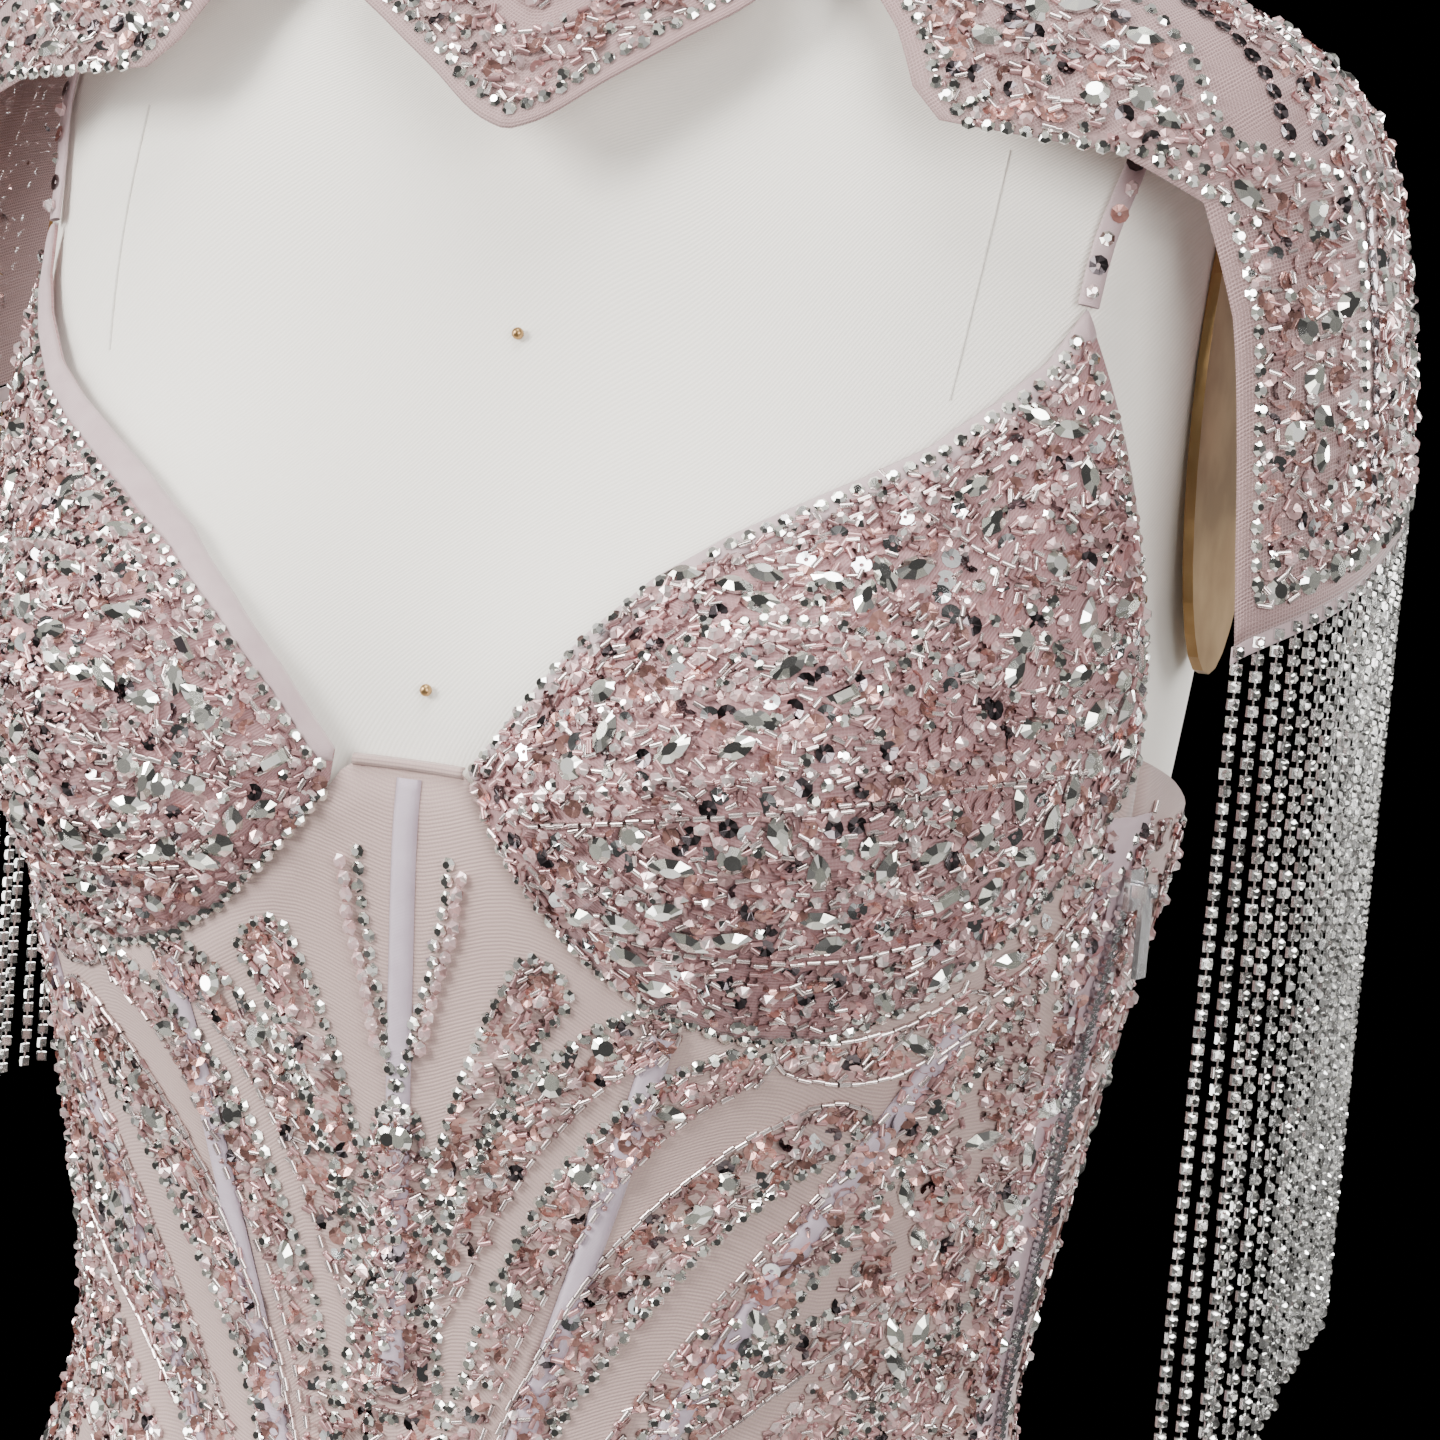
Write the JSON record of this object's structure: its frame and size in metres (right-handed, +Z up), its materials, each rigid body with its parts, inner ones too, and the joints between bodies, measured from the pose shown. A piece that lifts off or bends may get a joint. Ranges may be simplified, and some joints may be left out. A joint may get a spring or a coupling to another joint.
{
  "type": "mermaid evening dress on a limbless dress form",
  "caption": "Floor-length mermaid evening dress of beaded tulle with bust cups, straps, a shoulder capelet with chain fringe and a side zip, worn by a limbless dress form on a round stand.",
  "frame": {"origin": "on the floor, below the centre of the stand's pole and of the dress's hem", "axes": "+Z up; the dress's front faces -Y and the wearer's left is +X"},
  "size_m": [0.7328, 0.7184, 1.5513],
  "materials": {
    "form_twill": "fine cream cotton twill",
    "form_brass": "satin brass",
    "stand_steel": "brushed",
    "stand_base": "satin black paint",
    "beaded_tulle": "sheer dusty pink tulle sewn with stones, sequins and bugle beads",
    "binding": "satin binding in dusty mauve pink",
    "boning_channel": "satin tape in pale lavender",
    "chain": "polished silver cup chain with clear stones",
    "zip_tape": "woven tape in dusty pink",
    "zip_metal": "polished nickel"
  },
  "bodies": {
    "dress_and_form": {"form_torso": "form_twill", "form_arm_plate_left": "form_brass", "form_arm_plate_right": "form_brass", "form_neck_cap": "form_brass", "stand_pole": "stand_steel", "stand_base": "stand_base", "gore_front_centre": "beaded_tulle", "gore_front_left": "beaded_tulle", "gore_front_right": "beaded_tulle", "gore_back_left": "beaded_tulle", "gore_back_right": "beaded_tulle", "gore_back_centre": "beaded_tulle", "cup_left": "beaded_tulle", "cup_right": "beaded_tulle", "binding_left": "binding", "binding_right": "binding", "binding_centre": "binding", "channel_centre": "boning_channel", "channel_front_left": "boning_channel", "channel_front_right": "boning_channel", "channel_side_left": "boning_channel", "channel_side_right": "boning_channel", "strap_left": "binding", "strap_right": "binding", "capelet_front": "beaded_tulle", "capelet_shoulder_left": "beaded_tulle", "capelet_shoulder_right": "beaded_tulle", "capelet_back": "beaded_tulle", "capelet_collar": "binding", "collar_button": "binding", "fringe_left": "chain", "fringe_right": "chain", "zip_tape": "zip_tape", "zip_coil": "zip_tape", "zip_slider": "zip_metal"},
    "pull_tab": {"zip_pull": "zip_metal"}
  },
  "joints": [
    {"name": "pull_tab_swing", "type": "hinge", "parent": "dress_and_form", "child": "pull_tab", "pos_m": [0.15682, -0.02586, 1.22524], "axis": [-0.1476, -0.989, 0], "range_deg": [0, 150]}
  ]
}
